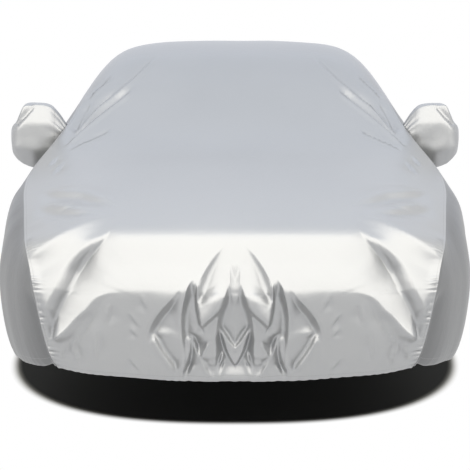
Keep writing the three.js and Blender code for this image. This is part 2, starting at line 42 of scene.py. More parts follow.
# The car's shape under the cloth, in millimetres behind the nose and above the ground.
coverShape = {
    "roofY": 2650,          # where the origin lies, under the roof
    "roof": (11, 18),       # stations before and behind it, over which y only grows
    "cloth": 2,             # thickness of the cloth's solids
    "plan": 6,              # power of the corner's sweep in plan
    "nose": 7,              # station where the front seam turns into the bonnet seam
    "tail": 24,             # the same at the rear
    "starts": {"nose": 1, "bonnet": 6, "tail": 23},     # first station of each stretch
    "centreStep": 2.0,      # between points along the centre line
    "blend": 520,           # length over which a side panel takes up the corner's shape
    # y, z on the centre line, half width, bow and sweep in plan, crown, drop at the seam and
    # its power
    "top": [
        [116, 302, 622, 72, 34, 0, -28, 6],
        [64, 277, 640, 74, 36, 0, -34, 6],
        [34, 335, 664, 76, 38, 0, -22, 6],
        [15, 450, 690, 78, 40, 0, -4, 6],
        [1, 575, 712, 80, 40, 0, 2, 6],
        [9, 617, 720, 80, 40, 1, 8, 6],
        [64, 694, 737, 82, 40, 4, 22, 6],
        [148, 794, 761, 76, 40, 10, 52, 6],
        [320, 848, 782, 50, 34, 19, 70, 6],
        [620, 910, 812, 12, 8, 25, 62, 6],
        [950, 968, 848, 0, 0, 25, 60, 6],
        [1230, 1018, 846, 0, 0, 22, 58, 7],
        [1450, 1080, 778, 0, 0, 18, 28, 8],
        [1650, 1175, 724, 0, 0, 20, 34, 8],
        [1850, 1285, 702, 0, 0, 24, 72, 8],
        [2080, 1390, 692, 0, 0, 25, 140, 8],
        [2350, 1440, 688, 0, 0, 26, 182, 8],
        [2720, 1452, 684, 0, 0, 28, 188, 8],
        [3050, 1432, 684, 0, 0, 30, 176, 8],
        [3300, 1362, 690, 0, 0, 32, 142, 8],
        [3550, 1252, 708, 0, 0, 32, 92, 8],
        [3800, 1145, 745, 0, 0, 30, 66, 8],
        [4030, 1075, 785, -25, -25, 26, 60, 7],
        [4230, 1035, 792, -55, -50, 20, 56, 6],
        [4335, 985, 782, -70, -60, 12, 42, 6],
        [4392, 880, 765, -75, -62, 5, 20, 6],
        [4400, 660, 740, -75, -62, 0, 5, 6],
        [4384, 430, 708, -75, -56, 0, 0, 6],
        [4346, 278, 682, -72, -50, 0, -8, 6],
        [4290, 302, 664, -70, -48, 0, -4, 6],
    ],
    # y at the hem, then x and z at the waist, the belly, the skirt, the hem and the tuck
    "side": [
        [262, 776, 655, 800, 560, 786, 412, 734, 303, 702, 322],
        [330, 812, 690, 844, 575, 828, 408, 782, 290, 747, 312],
        [570, 868, 755, 903, 600, 885, 404, 842, 276, 805, 300],
        [930, 908, 795, 924, 610, 905, 402, 862, 273, 825, 298],
        [1240, 902, 820, 922, 615, 904, 402, 864, 271, 827, 296],
        [1450, 882, 862, 916, 630, 903, 402, 864, 270, 827, 295],
        [1650, 862, 912, 914, 650, 903, 410, 864, 270, 827, 295],
        [1850, 854, 942, 914, 665, 904, 410, 866, 270, 829, 295],
        [2080, 853, 948, 915, 670, 905, 410, 868, 270, 831, 295],
        [2350, 854, 945, 916, 665, 906, 410, 868, 270, 831, 295],
        [2720, 856, 940, 916, 660, 906, 410, 868, 270, 831, 295],
        [3050, 858, 935, 915, 655, 904, 410, 866, 270, 829, 295],
        [3300, 862, 925, 913, 650, 902, 410, 864, 271, 827, 296],
        [3550, 866, 905, 910, 645, 898, 410, 860, 272, 823, 297],
        [3790, 866, 880, 904, 640, 890, 410, 850, 273, 813, 298],
        [3990, 858, 855, 893, 635, 876, 405, 835, 275, 798, 299],
        [4130, 838, 840, 872, 630, 852, 405, 805, 277, 770, 300],
        [4235, 812, 830, 838, 620, 812, 402, 765, 279, 735, 302],
    ],
    "down": [0, 0.3, 0.52, 0.76, 0.93, 1],   # seam, waist, belly, skirt, hem, tuck
    "frontStations": [7, 6, 4, 3, 1, 0],     # where those levels meet the front seam
    "rearStations": [24, 25, 26, 27, 28, 29],
}
hemLevel = coverShape["down"][-2]

# Lines that the columns of the cloth follow over the nose, so that its folds lie along them: z,
# then x on the inner arch, the outer arch, the side fold, the fold outside it and the corner's.
noseGuides = [
    [270, 72, 122, 188, 300, 580],
    [299, 71, 118, 187, 304, 600],
    [373, 68, 115, 179, 309, 660],
    [448, 68, 116, 186, 304, 662],
    [506, 63, 127, 189, 288, 646],
    [562, 46, 132, 180, 246, 625],
    [600, 34, 132, 167, 214, 612],
    [638, 24, 126, 158, 205, 599],
    [690, 20, 96, 142, 212, 573],
    [728, 22, 68, 136, 222, 542],
    [758, 26, 52, 138, 234, 510],
    [805, 48, 98, 164, 256, 460],
    [845, 74, 148, 226, 306, 430],
]

# Folds, drawn on both halves along a path: of x and z on the nose and the tail, of x and y from
# the bonnet to the rear window, and of y and z on a side. The cloth falls by `deep` from the path,
# within `soft`, and comes back over about `back`. It falls towards the middle where `to` is -1
# and outwards where it is 1, or on a side forwards and backwards. A lip of height `lip` and half
# width `wide` stands along the path, and `fades` are the lengths over which it all grows at the
# path's start and goes at its end. The fall is steepest at the path, unless `fall` makes it
# "flat", one even slope, "round", soft at both ends, or "foot", with the path along its foot and
# steepest there. A pair in `soft` is its value at the path's start and end. `tent` stands in for
# `lip`: the cloth stands out by that share of the way down from the path's start.
noseFolds = [
    # arches and side folds in the middle of the nose
    dict(to=-1, deep=38, soft=26, back=60, lip=4, wide=26, fades=(170, 50),
         path=[[30, 766], [50, 746], [68, 728], [90, 700], [107, 674], [123, 643], [132, 612],
               [134, 580], [133, 548]]),
    dict(to=1, deep=22, soft=13, back=24, lip=7, wide=13, fades=(50, 40),
         path=[[132, 640], [131, 600], [130, 552], [122, 512], [111, 478], [104, 450]]),
    dict(to=-1, deep=34, soft=26, back=170, lip=4, wide=22, fades=(90, 0),
         path=[[17, 652], [24, 632], [34, 600], [46, 562], [58, 524], [65, 490], [68, 448], [68, 410],
               [68, 373], [69, 335], [71, 299], [72, 268], [72, 244]]),
    dict(to=-1, deep=44, soft=25, back=44, lip=4, wide=24, fades=(60, 0),
         path=[[142, 652], [156, 640], [168, 618], [179, 577], [187, 540], [190, 505], [189, 465],
               [186, 429], [181, 385], [181, 345], [186, 305], [188, 270], [188, 244]]),
    dict(to=-1, deep=44, soft=28, back=70, lip=5, wide=40, fades=(90, 80), fall="flat",
         path=[[188, 622], [215, 592], [240, 566], [268, 535], [288, 506], [302, 474], [309, 440],
               [311, 408]]),
    # small folds between them
    dict(to=-1, deep=18, soft=17, back=40, lip=2, wide=9, fades=(60, 60), fall="flat",
         path=[[17, 706], [19, 670], [17, 638], [12, 604], [4, 574], [0, 562]]),
    dict(to=-1, deep=18, soft=12, back=14, lip=9, wide=12, fades=(50, 0),
         path=[[60, 496], [44, 462], [28, 436], [14, 416], [0, 400]]),
    dict(to=1, deep=26, soft=15, back=34, lip=8, wide=14, fades=(40, 0),
         path=[[52, 474], [42, 436], [30, 400], [16, 366], [0, 336]]),
    dict(to=1, deep=22, soft=13, back=26, lip=11, wide=11, fades=(26, 14),
         path=[[44, 388], [48, 360], [55, 336], [62, 310], [68, 284]]),
    dict(to=-1, deep=24, soft=13, back=36, lip=9, wide=11, fades=(24, 30),
         path=[[166, 452], [152, 436], [144, 412], [137, 390], [130, 368]]),
    dict(to=-1, deep=18, soft=12, back=30, lip=11, wide=11, fades=(26, 24),
         path=[[168, 448], [161, 418], [162, 386], [168, 352], [178, 310]]),
    dict(to=-1, deep=24, soft=16, back=44, lip=7, wide=14, fades=(34, 34),
         path=[[296, 466], [282, 430], [262, 392], [240, 358], [220, 330], [204, 302]]),
    dict(to=1, deep=16, soft=12, back=22, lip=6, wide=8, fades=(22, 22),
         path=[[92, 432], [104, 404], [114, 384], [122, 360]]),
    dict(to=-1, deep=16, soft=13, back=26, lip=5, wide=9, fades=(30, 14),
         path=[[126, 372], [114, 342], [102, 318], [92, 294], [84, 274]]),
    dict(to=1, deep=18, soft=13, back=24, lip=8, wide=10, fades=(30, 0),
         path=[[146, 340], [158, 312], [172, 286], [182, 262]]),
    dict(to=1, deep=18, soft=13, back=24, lip=8, wide=10, fades=(30, 0),
         path=[[32, 350], [44, 316], [56, 290], [66, 264]]),
    # the front corner
    dict(to=-1, deep=48, soft=(8, 44), back=130, lip=6, wide=60, fades=(230, 120), fall="foot",
         path=[[440, 814], [466, 792], [503, 763], [543, 727], [578, 683], [598, 638], [611, 590],
               [636, 516], [655, 448], [670, 392]]),
    dict(to=-1, deep=0, soft=(6, 46), back=40, tent=0.46, wide=200, fades=(60, 70), fall="flat",
         path=[[386, 601], [442, 603], [482, 587], [504, 566], [527, 535], [566, 499], [592, 468],
               [622, 436], [656, 404]]),
]
bonnetFolds = [
    # the bonnet: its corner's edge and three soft folds over it
    dict(to=-1, deep=16, soft=80, back=260, lip=8, wide=60, fades=(130, 0),
         path=[[440, 338], [509, 276], [576, 208], [636, 148], [690, 112], [738, 94], [820, 78]]),
    dict(to=1, deep=13, soft=48, back=130, lip=10, wide=70, fades=(120, 160), fall="round",
         path=[[752, 780], [697, 715], [617, 645], [565, 607], [511, 533], [459, 465], [419, 413]]),
    dict(to=1, deep=14, soft=44, back=90, lip=9, wide=50, fades=(90, 90), fall="round",
         path=[[740, 611], [696, 544], [629, 483], [561, 451]]),
    dict(to=1, deep=13, soft=42, back=90, lip=8, wide=46, fades=(90, 110), fall="round",
         path=[[718, 509], [665, 473], [597, 426], [512, 338]]),
    # the bonnet: folds fanning out from the mirror to the windscreen
    dict(to=1, deep=24, soft=20, back=46, lip=10, wide=20, fades=(70, 260),
         path=[[704, 1480], [610, 1670], [454, 1892], [349, 2110]]),
    dict(to=1, deep=25, soft=18, back=40, lip=10, wide=18, fades=(70, 100),
         path=[[724, 1360], [604, 1585], [444, 1807]]),
    dict(to=1, deep=20, soft=16, back=34, lip=8, wide=14, fades=(40, 60),
         path=[[698, 1307], [610, 1385], [524, 1474]]),
    dict(to=1, deep=17, soft=15, back=30, lip=8, wide=12, fades=(40, 60),
         path=[[700, 1513], [673, 1640], [640, 1752]]),
    dict(to=1, deep=15, soft=14, back=28, lip=8, wide=12, fades=(40, 60),
         path=[[662, 1796], [610, 1870], [551, 1950]]),
    dict(to=1, deep=18, soft=15, back=32, lip=8, wide=14, fades=(60, 200),
         path=[[678, 1506], [600, 1690], [505, 1858]]),
    # broad folds behind the windscreen
    dict(to=1, deep=9, soft=40, back=150, lip=5, wide=50, fades=(160, 200), fall="round",
         path=[[690, 3330], [560, 3480], [380, 3600], [190, 3660]]),
    dict(to=1, deep=11, soft=34, back=110, lip=6, wide=40, fades=(120, 180), fall="round",
         path=[[730, 3700], [600, 3860], [450, 3970], [280, 4030]]),
    dict(to=1, deep=12, soft=28, back=80, lip=5, wide=30, fades=(90, 160), fall="round",
         path=[[770, 3900], [660, 4060], [520, 4170], [390, 4220]]),
]
tailFolds = [
    dict(to=-1, deep=24, soft=40, back=110, lip=10, wide=60, fades=(120, 120),
         path=[[520, 965], [590, 880], [640, 760], [660, 620], [668, 480]]),
    dict(to=1, deep=16, soft=34, back=100, lip=6, wide=40, fades=(120, 140),
         path=[[610, 900], [520, 760], [400, 640], [260, 560]]),
    dict(to=-1, deep=16, soft=30, back=80, lip=6, wide=34, fades=(120, 60),
         path=[[640, 640], [560, 520], [470, 420], [380, 330]]),
    dict(to=1, deep=14, soft=24, back=60, lip=5, wide=26, fades=(140, 40),
         path=[[330, 700], [290, 560], [250, 430], [225, 310]]),
    dict(to=-1, deep=13, soft=22, back=60, lip=5, wide=24, fades=(120, 40),
         path=[[120, 640], [150, 520], [140, 400], [110, 300]]),
]
sideFolds = [
    dict(to=1, deep=12, soft=34, back=90, lip=5, wide=40, fades=(160, 160),
         path=[[1560, 900], [1400, 790], [1180, 640], [1000, 460]]),
    dict(to=-1, deep=10, soft=30, back=80, lip=5, wide=34, fades=(140, 180),
         path=[[1520, 960], [1300, 840], [1020, 730], [780, 640]]),
    dict(to=-1, deep=12, soft=34, back=90, lip=5, wide=40, fades=(160, 220),
         path=[[1720, 930], [1900, 800], [2180, 640], [2420, 440]]),
    dict(to=1, deep=9, soft=28, back=80, lip=4, wide=34, fades=(120, 220),
         path=[[1760, 1000], [2050, 900], [2380, 800], [2700, 690]]),
    dict(to=-1, deep=12, soft=36, back=100, lip=5, wide=44, fades=(200, 120),
         path=[[3920, 800], [3700, 640], [3450, 480], [3260, 320]]),
    dict(to=1, deep=10, soft=30, back=90, lip=5, wide=36, fades=(180, 160),
         path=[[4060, 700], [3880, 560], [3700, 430], [3560, 310]]),
    dict(to=-1, deep=8, soft=28, back=80, lip=4, wide=34, fades=(180, 160),
         path=[[3300, 840], [3060, 690], [2860, 500], [2740, 320]]),
    dict(to=1, deep=9, soft=26, back=70, lip=4, wide=30, fades=(140, 60),
         path=[[1240, 520], [1190, 420], [1160, 300]]),
    dict(to=-1, deep=9, soft=26, back=70, lip=4, wide=30, fades=(160, 60),
         path=[[2120, 560], [2070, 430], [2060, 300]]),
]

# Sharp little creases, each a small fold that fades over a share of its own length: the side to
# which it falls, and its path, as in the folds.
creases = {
    "fold": {"deep": 12, "soft": 10, "back": 26, "lip": 6, "wide": 10},
    "fade": 0.45,
    "nose": [
        (-1, [[485, 541], [533, 477], [571, 401], [584, 345]]),
        (-1, [[595, 426], [613, 361], [619, 310]]),
        (-1, [[560, 430], [572, 391], [561, 342], [561, 290]]),
        (-1, [[484, 470], [486, 440], [488, 392], [492, 330]]),
        (-1, [[436, 572], [447, 524], [454, 470]]),
        (1, [[380, 540], [353, 505], [328, 470]]),
        (1, [[372, 482], [338, 436]]),
        (1, [[380, 372], [356, 337], [330, 302]]),
        (1, [[333, 604], [318, 566], [300, 528]]),
    ],
    "bonnet": [
        (-1, [[775, 1131], [763, 1197], [745, 1262]]),
        (-1, [[741, 970], [726, 1075], [706, 1160]]),
    ],
}

# Places where the cloth stands out on both halves of the nose: x and z of the fullest point, the
# half width and the power of its edge, the lengths over which it rises from above and falls below,
# how far its foot leans down outwards, and how far it stands out.
swells = [
    {"x": 88, "z": 528, "wide": 42, "power": 3, "above": 110, "below": 34, "lean": -0.9, "high": 34},
]

# What all folds share.
foldForm = {
    "edgePower": 1.5, "footPower": 1.3,
    "endBend": 0.5,         # how far a fade moves along for each millimetre away from the path
    "softAtEnds": 0.4,      # share of `soft` that is left where a fold has faded
    "softMiddle": 0.4,      # share of the path where a pair in `soft` has reached its mean
    "tentRounding": 9,
    "pathSteps": 6,         # short stretches of the smooth path for each point given
    "reach": 6,             # a fold is worked out up to this many times its `back` away
}

topCloth = {
    "columns": [17, 14, 14, 24, 48, 17],    # from the middle to each guide, then to the seam
    "evenFrom": 8, "evenOver": 700,         # station where the columns start to spread evenly
    # length along the centre line up to which rows have a pitch, and the pitch
    "rows": [(660, 4.8), (1050, 10), (2690, 20), (5250, 42), (5900, 14)],
    "flat": (1.75, 5.75),
    # share of the folds left at the hems, and the gap and lengths within which they grow
    "atHem": 0.1, "hemGap": 5, "hemRamp": (56, 80),
    "seamRamp": 0.05,       # share of the half width over which folds end at the seam
    # slight waves from a station on, growing over a length: smooth noise over x and u
    "wave": {"high": 3.0, "pitch": (170, 260), "from": 16, "over": 600, "seed": 61},
    "edgeRamp": (8, 50),    # lengths over which all relief starts, at the seam and at the ends
    "normalStep": (25.0, 1e-3),     # long, so that folds cross the nose's crest whole
}
sideCloth = {
    "rows": [(7, 8, 44), (8, 9, 34), (9, 14, 90), (14, 24, 130)],   # between stations, and how many
    "levels": [(0.0, 0.86, 78), (0.86, 1.0, 26)],   # the same down the panel
    "drop": 640,            # length down the panel
    "flat": (4.15, 1.02),
    "frontPleats": {"left": 0.35, "from": 500, "over": 500},    # share left in front of a y
    # a fold leaning down the front corner: z and x of its crest, how much steeper its inner flank
    # is, and the lengths over which it ends at the crest's top and before a y
    "crest": {"high": 10, "wide": 20, "steep": 2.2, "z": [300, 400, 500, 600], "x": [658, 680, 706, 738],
              "top": 80, "y": 700, "over": 200},
    # soft upright streaks, with their lean and change down the panel, stronger in some patches
    "streak": {"high": 4.0, "pitch": 95, "lean": 0.8, "down": 1.3, "ramp": 0.2},
    "patch": {"mean": 0.6, "more": 0.4, "pitch": 330, "down": 3.1},
    "ramps": (0.05, 0.06, 30),  # all relief starts over shares at seam and tuck, a length at the ends
    "normalStep": (1.0, 1e-3),
}
# Rows of stitches, in millimetres from the seam between two panels and above the hem.
stitches = {
    "seam": 9, "hem": 28, "pitch": 6.0, "share": 0.62, "thick": 1.4, "thread": (0.3, 0.305, 0.32, 1),
}
# Pleats: how far they stand out, their pitch, how far they run from the edge, and their seed.
# Those at the top panel's seams end some way behind the front hem.
pleats = {
    "frontHem": (2.6, 36, 60, 3), "rearHem": (5.0, 36, 96, 8), "sideHem": (4.0, 36, 60),
    "seam": (34.0, 22, 17, 21), "seamUntil": 800, "seamOver": 200,
}
# How uneven pleats are: a mean, a random share, over how many pitches it changes, and its seed.
pleatForm = {
    "shift": (0, 1.1, 4.3, 0), "rise": (0.55, 0.45, 2.1, 5), "reach": (0.75, 0.5, 1.3, 9),
    "power": 0.8, "foot": 0.6, "leastReach": 10,
}
# The front hem is drawn up a little on both sides of the middle.
hemLift = {"high": 13, "x": 410, "wide": 170, "below": 190}


def slopes(t, rows):
    # Slope at each row from its two neighbours, and at the ends from one.
    slope = np.empty_like(rows)
    slope[..., 1:-1, :] = (rows[..., 2:, :] - rows[..., :-2, :]) / (t[2:] - t[:-2])[:, None]
    slope[..., 0, :] = (rows[..., 1, :] - rows[..., 0, :]) / (t[1] - t[0])
    slope[..., -1, :] = (rows[..., -1, :] - rows[..., -2, :]) / (t[-1] - t[-2])
    return slope


def stretchAt(t, at):
    # Which stretch between knots each value lies in, the stretch's length and the share passed.
    k = np.clip(np.searchsorted(t, at, side="right") - 1, 0, len(t) - 2)
    return k, (t[k + 1] - t[k])[..., None], ((at - t[k]) / (t[k + 1] - t[k]))[..., None]


def cubic(s, h, start, end, slopeStart, slopeEnd):
    # The cubic between two points with a slope at each, at a share s of a stretch of length h.
    return ((2 * s**3 - 3 * s**2 + 1) * start + (s**3 - 2 * s**2 + s) * h * slopeStart
            + (3 * s**2 - 2 * s**3) * end + (s**3 - s**2) * h * slopeEnd)


def spline(knots, rows, at):
    # Catmull-Rom through the rows at the knots.
    t, rows = np.asarray(knots, float), np.asarray(rows, float)
    slope = slopes(t, rows)
    k, h, s = stretchAt(t, np.asarray(at, float))
    return cubic(s, h, rows[k], rows[k + 1], slope[k], slope[k + 1])


def lengths(line):
    # Length passed at each point of a line.
    return np.concatenate([[0], np.cumsum(np.hypot(*np.diff(line, axis=0).T))])


def smooth(a):
    # 0 below 0, 1 above 1, and 3a^2 - 2a^3 between.
    s = np.clip(a, 0, 1)
    return s * s * (3 - 2 * s)


def bell(a):
    # e^(-a^2), which is 1 at 0 and nearly 0 from 2 on.
    return np.exp(-(a**2))


stations = np.array(coverShape["top"], float)
knots = lengths(stations[:, :2])


def bare(u, v):
    # The shape under the top panel: a point u along the centre line, moved out by v half
    # widths, back by bow v^2 + sweep v^6 and down by crown v^2 + drop v^shoulder.
    y, z, half, bow, sweep, crown, drop, shoulder = np.moveaxis(spline(knots, stations, u), -1, 0)
    a = np.abs(v)
    return np.stack([
        half * v,
        y + bow * a**2 + sweep * a ** coverShape["plan"],
        z - crown * a**2 - drop * a**shoulder,
    ], -1)


centre = np.arange(0, knots[-1], coverShape["centreStep"])
centrePoints = bare(centre, np.zeros_like(centre))


def station(on, value):
    # Length along the centre line at a height on the nose or the tail, or at a distance behind
    # the nose. A value before the stretch's first station counts as length before it.
    start = np.searchsorted(centre, knots[coverShape["starts"][on]])
    sign, column = {"nose": (1, 2), "bonnet": (1, 1), "tail": (-1, 2)}[on]
    along, reached = sign * centrePoints[start:, column], sign * value
    if reached < along[0]:
        return centre[start] - (along[0] - reached)
    k = np.argmax(along >= reached)
    return np.interp(reached, along[k - 1:k + 1], centre[start + k - 1:start + k + 1])


roofStations = slice(*coverShape["roof"])
roofU = np.interp(coverShape["roofY"], stations[roofStations, 0], knots[roofStations])
roofZ = float(spline(knots, stations, roofU)[1]) - coverShape["cloth"]


def toFrame(points):
    # Metres from the origin, which lies on the cloth's inner face under the roof.
    return (points - np.array([0, coverShape["roofY"], roofZ])) * mm


guideKnots = np.array([station("nose", row[0]) for row in noseGuides])


def guide(line, u):
    return np.interp(u, guideKnots, [row[line] for row in noseGuides])


hashSteps = (12.9898, 78.233, 43758.5453)
planeSteps = (17.3, 0.37)


def hashed(i, seed):
    # A number from -1 to 1 for each whole number: the fraction of a much enlarged sine.
    scaled = np.sin(i * hashSteps[0] + seed * hashSteps[1]) * hashSteps[2]
    return np.modf(np.abs(scaled))[0] * 2 - 1


def noise1(x, seed):
    # Smooth random curve through a hashed value at each whole number.
    i = np.floor(x)
    return hashed(i, seed) + (hashed(i + 1, seed) - hashed(i, seed)) * smooth(x - i)


def noise2(x, y, seed):
    # The same over a plane: two such curves in x, blended in y.
    j = np.floor(y)
    shift, change = planeSteps
    low = noise1(x + shift * j, seed + j * change)
    high = noise1(x + shift * (j + 1), seed + (j + 1) * change)
    return low + (high - low) * smooth(y - j)


def pathOf(on, fold):
    # The fold's path as a smooth line of short stretches, in x and u, or on a side in y and z.
    line = [[x, value if on == "side" else station(on, value)] for x, value in fold["path"]]
    way = lengths(line)
    return spline(way, line, np.linspace(0, way[-1], foldForm["pathSteps"] * len(line) + 1))


def creaseFold(on, to, path):
    # A crease's own fold, with its fades told from the length of its path.
    fold = {"to": to, "path": path, **creases["fold"]}
    reach = creases["fade"] * lengths(pathOf(on, fold))[-1]
    return {**fold, "fades": (reach, reach)}


def nearRun(offX, offY, run):
    # Share of a straight run at which it comes nearest to an offset from its start, and the gap.
    s = np.clip((offX * run[0] + offY * run[1]) / (run @ run), 0, 1)
    return s, np.hypot(offX - s * run[0], offY - s * run[1])


def foldRelief(on, fold, x, u):
    # Height of one fold at a distance t from its path: before it, the lip as lip e^(-(t / wide)^2),
    # and where the cloth falls, lip (1 - f) - deep f b. Here f goes from 0 to 1 over `soft`, as
    # 1 - (1 - t / soft)^1.5 or in the other forms below, and b = e^(-t / back) brings it back.
    line = pathOf(on, fold)
    runs = np.diff(line, axis=0)
    way = lengths(line)
    best = np.full(x.shape, np.inf)
    hand = np.ones(x.shape)
    along = np.zeros(x.shape)
    nearU = np.zeros(x.shape)
    for start, run, passed in zip(line[:-1], runs, way):
        offX, offU = x - start[0], u - start[1]
        s, gap = nearRun(offX, offU, run)
        near = gap < best
        best = np.where(near, gap, best)
        hand = np.where(near, np.where(run[0] * offU - run[1] * offX < 0, -1, 1), hand)
        along = np.where(near, passed + s * math.hypot(*run), along)
        nearU = np.where(near, start[1] + s * run[1], nearU)
    grow, go = fold["fades"]
    bend = foldForm["endBend"] * best
    ends = np.ones(x.shape)
    if grow:
        ends = ends * smooth((along - bend) / grow)
    if go:
        ends = ends * smooth((way[-1] - along - bend) / go)
    t = best * hand * fold["to"] * (1 if line[-1, 1] < line[0, 1] else -1)
    if isinstance(fold["soft"], tuple):
        first, last = fold["soft"]
        at = np.array([0, foldForm["softMiddle"], 1]) * way[-1]
        soft = np.interp(along, at, [first, (first + last) / 2, last])
    else:
        soft = fold["soft"] * (foldForm["softAtEnds"] + (1 - foldForm["softAtEnds"]) * ends)
    form = fold.get("fall", "edge")
    if form == "foot":
        t = t + soft
    fallen = np.maximum(t, 0)
    share = np.minimum(fallen / soft, 1)
    fall = {
        "edge": 1 - (1 - share) ** foldForm["edgePower"],
        "foot": share ** foldForm["footPower"],
        "flat": share,
        "round": smooth(share),
    }[form]
    if form == "foot":
        back = bell(np.maximum(fallen - soft, 0) / fold["back"])
    else:
        back = np.exp(-fallen / fold["back"])
    if "tent" in fold:
        below = line[0, 1] - np.where(t < 0, u, nearU)
        lip = fold["tent"] * (below + np.hypot(below, foldForm["tentRounding"])) / 2
    else:
        lip = fold["lip"]
    return ends * (lip * np.where(t < 0, bell(t / fold["wide"]), 1 - fall) - fold["deep"] * fall * back)


def swell(place, x, u):
    # A flat-topped hump across, which rises slowly from above and falls fast below.
    middle = station("nose", place["z"]) + place["lean"] * (x - place["x"])
    rise = smooth((middle + place["above"] - u) / place["above"])
    fall = smooth((u - middle + place["below"]) / place["below"])
    across = np.abs((x - place["x"]) / place["wide"]) ** place["power"]
    return place["high"] * np.exp(-across) * rise * fall


def gathers(along, away, rise, pitch, reach, seed):
    # Pleats across an edge: |sin| ridges of uneven pitch and height, fading away from the edge.
    def uneven(kind):
        mean, share, pitches, step = pleatForm[kind]
        return mean + share * noise1(along / (pitches * pitch), seed + step)

    wave = np.abs(np.sin(np.pi * (along / pitch + uneven("shift"))))
    ridge = wave ** pleatForm["power"] - pleatForm["foot"]
    length = np.maximum(reach * uneven("reach"), pleatForm["leastReach"])
    return rise * uneven("rise") * ridge * np.exp(-np.abs(away) / length)


def normalOf(shape, a, b, steps):
    # Cross product of the two ways along a surface given by a function of a and b.
    stepA, stepB = steps
    alongA = shape(a + stepA, b) - shape(a - stepA, b)
    alongB = shape(a, b + stepB) - shape(a, b - stepB)
    normal = np.cross(alongB, alongA)
    return normal / np.linalg.norm(normal, axis=-1, keepdims=True)


def nearestStitch(seam, alongSeam, hems, alongHem):
    # Distance from the nearest row of stitches, and length along it, in metres.
    hem = np.where(np.abs(hems[0]) < np.abs(hems[1]), *hems)
    atSeam = np.abs(seam) < np.abs(hem)
    return np.where(atSeam, seam, hem) * mm, np.where(atSeam, alongSeam, alongHem) * mm


def spread(parts):
    # Values from the start of the first part to the end of the last, in so many steps in each.
    return np.concatenate([[parts[0][0]]] + [np.linspace(a, b, n + 1)[1:] for a, b, n in parts])


def topRows():
    # Lengths along the centre line of the rows, at the pitch of each part of the way.
    ends = [0] + [min(reach, knots[-1]) for reach, _ in topCloth["rows"]]
    pitches = [pitch for _, pitch in topCloth["rows"]]
    return spread([(a, b, int((b - a) / pitch)) for a, b, pitch in zip(ends, ends[1:], pitches)])


def topColumns(rows):
    # Shares of the half width at the columns of each row, which follow the guides over the nose
    # and spread evenly behind it.
    counts = np.array(topCloth["columns"])
    stops = np.concatenate([[0], np.cumsum(counts)]) / counts.sum()
    half = np.arange(counts.sum() + 1) / counts.sum()
    across = np.empty((len(rows), len(half)))
    for i, u in enumerate(rows):
        width = bare(u, 1.0)[0]
        lines = np.array([0] + [guide(k, u) / width for k in range(1, len(counts))] + [1])
        even = smooth((u - knots[topCloth["evenFrom"]]) / topCloth["evenOver"])
        across[i] = np.interp(half, stops, lines * (1 - even) + stops * even)
    return np.concatenate([-across[:, :0:-1], across], axis=1)


def topPoints():
    # The bare shape, moved along its normal by the sum of the folds, swells, waves and pleats.
    rows = topRows()
    v = topColumns(rows)
    u = np.repeat(rows[:, None], v.shape[1], axis=1)
    points = bare(u, v)
    x = np.abs(points[..., 0])
    fromSeam = (1 - np.abs(v)) * bare(u, np.ones_like(u))[..., 0]
    frontHem, rearHem = u - knots[1], knots[-2] - u
    height = np.zeros(x.shape)
    groups = [("nose", noseFolds), ("bonnet", bonnetFolds), ("tail", tailFolds)]
    groups += [(on, [creaseFold(on, *crease) for crease in creases[on]]) for on in ("nose", "bonnet")]
    for on, fold in [(on, fold) for on, group in groups for fold in group]:
        ends = pathOf(on, fold)[:, 1]
        reach = foldForm["reach"] * fold["back"]
        reached = (rows < ends.max() + reach) & (rows > ends.min() - reach)
        height[reached] += foldRelief(on, fold, x[reached], u[reached])
    for place in swells:
        height += swell(place, x, u)
    left, gap, (front, rear) = topCloth["atHem"], topCloth["hemGap"], topCloth["hemRamp"]
    height *= left + (1 - left) * smooth((frontHem - gap) / front) * smooth((rearHem - gap) / rear)
    wave = topCloth["wave"]
    height += (wave["high"] * noise2(points[..., 0] / wave["pitch"][0], u / wave["pitch"][1], wave["seed"])
               * smooth((u - knots[wave["from"]]) / wave["over"]))
    height *= smooth((1 - np.abs(v)) / topCloth["seamRamp"])
    points[..., 2] += (hemLift["high"] * bell((x - hemLift["x"]) / hemLift["wide"])
                       * smooth((hemLift["below"] - u) / hemLift["below"]))
    height += gathers(points[..., 0], frontHem, *pleats["frontHem"])
    height += gathers(points[..., 0], rearHem, *pleats["rearHem"])
    height += (gathers(u, fromSeam, *pleats["seam"])
               * smooth((pleats["seamUntil"] - u) / pleats["seamOver"]))
    atSeam, atEnd = topCloth["edgeRamp"]
    level = smooth(fromSeam / atSeam) * smooth(u / atEnd) * smooth((knots[-1] - u) / atEnd)
    normal = normalOf(bare, u, v, topCloth["normalStep"])
    hems = (frontHem - stitches["hem"], rearHem - stitches["hem"])
    sewn = nearestStitch(fromSeam - stitches["seam"], u, hems, points[..., 0])
    return points + normal * (height * level)[..., None], sewn


def sideSection(u, w):
    # The panel's section at u: a smooth curve through the table's points, as w goes from 0 at
    # the seam to 1 at the tuck, moved back towards the hem's own y.
    seam = bare(u, np.ones_like(u))
    row = spline(knots[coverShape["nose"]:coverShape["tail"] + 1], coverShape["side"], u)
    down = np.array(coverShape["down"])
    section = np.stack([
        np.concatenate([seam[..., :1], row[..., 1::2]], -1),
        np.concatenate([seam[..., 2:], row[..., 2::2]], -1),
    ], -1)
    slope = slopes(down, section)
    k, h, s = stretchAt(down, w)

    def pick(table, at):
        return np.take_along_axis(table, at[..., None, None], -2)[..., 0, :]

    xz = cubic(s, h, pick(section, k), pick(section, k + 1), pick(slope, k), pick(slope, k + 1))
    y = seam[..., 1] + (row[..., 0] - seam[..., 1]) * np.minimum(w / hemLevel, 1)
    return np.stack([xz[..., 0], y, xz[..., 1]], -1)


